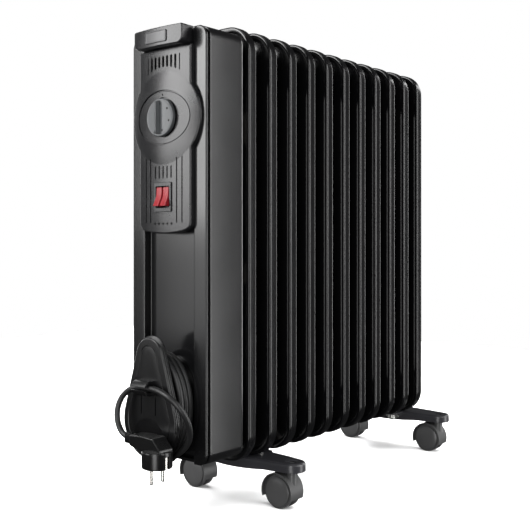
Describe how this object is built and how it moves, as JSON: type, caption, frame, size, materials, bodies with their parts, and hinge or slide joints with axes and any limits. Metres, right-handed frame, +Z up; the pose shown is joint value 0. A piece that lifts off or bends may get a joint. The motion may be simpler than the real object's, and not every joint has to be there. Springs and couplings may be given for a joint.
{
  "type": "oil filled radiator heater",
  "caption": "Upright oil-filled electric radiator with pressed steel fins, front control housing, dial and rocker switches, cord reel and twin-wheel casters.",
  "frame": {"origin": "on the floor under the middle of the heater, midway between the cord clip's front and the rear foot's back edge", "axes": "+Z up, +Y from the control housing towards the last fin, +X to the right when facing the controls"},
  "size_m": [0.228, 0.641, 0.646],
  "materials": {
    "radiator_enamel": "semi-gloss black enamel baked on pressed steel",
    "housing_enamel": "satin black powder coat on sheet steel",
    "satin_plastic": "fine-textured satin black ABS",
    "grey_knob_plastic": "satin grey plastic",
    "badge_plastic": "blank satin plate",
    "red_lens": "translucent red lit rocker",
    "reel_plastic": "moulded black plastic",
    "cord_jacket": "black PVC jacket",
    "plug_rubber": "moulded black plug",
    "nickel_pin": "nickel plated brass pin",
    "zinc_steel": "zinc plated steel",
    "ceramic_insulator": "unglazed steatite",
    "caster_plastic": "moulded nylon"
  },
  "bodies": {
    "heater": {"fin_01": "radiator_enamel", "fin_02": "radiator_enamel", "fin_03": "radiator_enamel", "fin_04": "radiator_enamel", "fin_05": "radiator_enamel", "fin_06": "radiator_enamel", "fin_07": "radiator_enamel", "fin_08": "radiator_enamel", "fin_09": "radiator_enamel", "fin_10": "radiator_enamel", "fin_11": "radiator_enamel", "oil_filler_plug": "zinc_steel", "element_flange": "zinc_steel", "heating_element": "zinc_steel", "thermal_cutout": "ceramic_insulator", "front_cover": "housing_enamel", "cover_shell": "housing_enamel", "terminal_block": "ceramic_insulator", "control_panel": "satin_plastic", "thermostat_body": "ceramic_insulator", "switch_housing": "satin_plastic", "handle": "satin_plastic", "badge_plate": "badge_plastic", "reel_core": "reel_plastic", "reel_plate": "reel_plastic", "cord_coil": "cord_jacket", "cord_lead": "cord_jacket", "cord_gland": "reel_plastic", "plug_body": "plug_rubber", "plug_pin_1": "nickel_pin", "plug_pin_2": "nickel_pin", "front_foot": "radiator_enamel", "front_u_bolt": "zinc_steel", "front_wing_nut_left": "zinc_steel", "front_wing_nut_right": "zinc_steel", "rear_foot": "radiator_enamel", "rear_u_bolt": "zinc_steel", "rear_wing_nut_left": "zinc_steel", "rear_wing_nut_right": "zinc_steel"},
    "dial": {"thermostat_knob": "grey_knob_plastic", "thermostat_shaft": "zinc_steel"},
    "left_rocker": {"rocker_left": "red_lens"},
    "right_rocker": {"rocker_right": "red_lens"},
    "front_left_caster": {"front_left_caster_hood": "caster_plastic", "front_left_caster_axle": "zinc_steel"},
    "front_left_outer_wheel": {"front_left_wheel_outer": "caster_plastic"},
    "front_left_inner_wheel": {"front_left_wheel_inner": "caster_plastic"},
    "front_right_caster": {"front_right_caster_hood": "caster_plastic", "front_right_caster_axle": "zinc_steel"},
    "front_right_outer_wheel": {"front_right_wheel_outer": "caster_plastic"},
    "front_right_inner_wheel": {"front_right_wheel_inner": "caster_plastic"},
    "rear_left_caster": {"rear_left_caster_hood": "caster_plastic", "rear_left_caster_axle": "zinc_steel"},
    "rear_left_outer_wheel": {"rear_left_wheel_outer": "caster_plastic"},
    "rear_left_inner_wheel": {"rear_left_wheel_inner": "caster_plastic"},
    "rear_right_caster": {"rear_right_caster_hood": "caster_plastic", "rear_right_caster_axle": "zinc_steel"},
    "rear_right_outer_wheel": {"rear_right_wheel_outer": "caster_plastic"},
    "rear_right_inner_wheel": {"rear_right_wheel_inner": "caster_plastic"}
  },
  "joints": [
    {"name": "thermostat_turn", "type": "hinge", "parent": "heater", "child": "dial", "pos_m": [0, -0.27, 0.5175], "axis": [0, 1, 0], "range_deg": [0, 270]},
    {"name": "left_rocker_tilt", "type": "hinge", "parent": "heater", "child": "left_rocker", "pos_m": [-0.00615, -0.269, 0.416], "axis": [1, 0, 0], "range_deg": [0, 16]},
    {"name": "right_rocker_tilt", "type": "hinge", "parent": "heater", "child": "right_rocker", "pos_m": [0.00615, -0.269, 0.416], "axis": [1, 0, 0], "range_deg": [0, 16]},
    {"name": "front_left_swivel", "type": "hinge", "parent": "heater", "child": "front_left_caster", "pos_m": [-0.096, -0.123, 0.05], "axis": [0, 0, 1], "continuous": true},
    {"name": "front_left_outer_spin", "type": "hinge", "parent": "front_left_caster", "child": "front_left_outer_wheel", "pos_m": [-0.079, -0.123, 0.02256], "axis": [0, 1, 0], "continuous": true},
    {"name": "front_left_inner_spin", "type": "hinge", "parent": "front_left_caster", "child": "front_left_inner_wheel", "pos_m": [-0.079, -0.123, 0.02256], "axis": [0, 1, 0], "continuous": true},
    {"name": "front_right_swivel", "type": "hinge", "parent": "heater", "child": "front_right_caster", "pos_m": [0.096, -0.123, 0.05], "axis": [0, 0, 1], "continuous": true},
    {"name": "front_right_outer_spin", "type": "hinge", "parent": "front_right_caster", "child": "front_right_outer_wheel", "pos_m": [0.079, -0.123, 0.02256], "axis": [0, 1, 0], "continuous": true},
    {"name": "front_right_inner_spin", "type": "hinge", "parent": "front_right_caster", "child": "front_right_inner_wheel", "pos_m": [0.079, -0.123, 0.02256], "axis": [0, 1, 0], "continuous": true},
    {"name": "rear_left_swivel", "type": "hinge", "parent": "heater", "child": "rear_left_caster", "pos_m": [-0.096, 0.283, 0.05], "axis": [0, 0, 1], "continuous": true},
    {"name": "rear_left_outer_spin", "type": "hinge", "parent": "rear_left_caster", "child": "rear_left_outer_wheel", "pos_m": [-0.079, 0.283, 0.02256], "axis": [0, 1, 0], "continuous": true},
    {"name": "rear_left_inner_spin", "type": "hinge", "parent": "rear_left_caster", "child": "rear_left_inner_wheel", "pos_m": [-0.079, 0.283, 0.02256], "axis": [0, 1, 0], "continuous": true},
    {"name": "rear_right_swivel", "type": "hinge", "parent": "heater", "child": "rear_right_caster", "pos_m": [0.096, 0.283, 0.05], "axis": [0, 0, 1], "continuous": true},
    {"name": "rear_right_outer_spin", "type": "hinge", "parent": "rear_right_caster", "child": "rear_right_outer_wheel", "pos_m": [0.079, 0.283, 0.02256], "axis": [0, 1, 0], "continuous": true},
    {"name": "rear_right_inner_spin", "type": "hinge", "parent": "rear_right_caster", "child": "rear_right_inner_wheel", "pos_m": [0.079, 0.283, 0.02256], "axis": [0, 1, 0], "continuous": true}
  ]
}
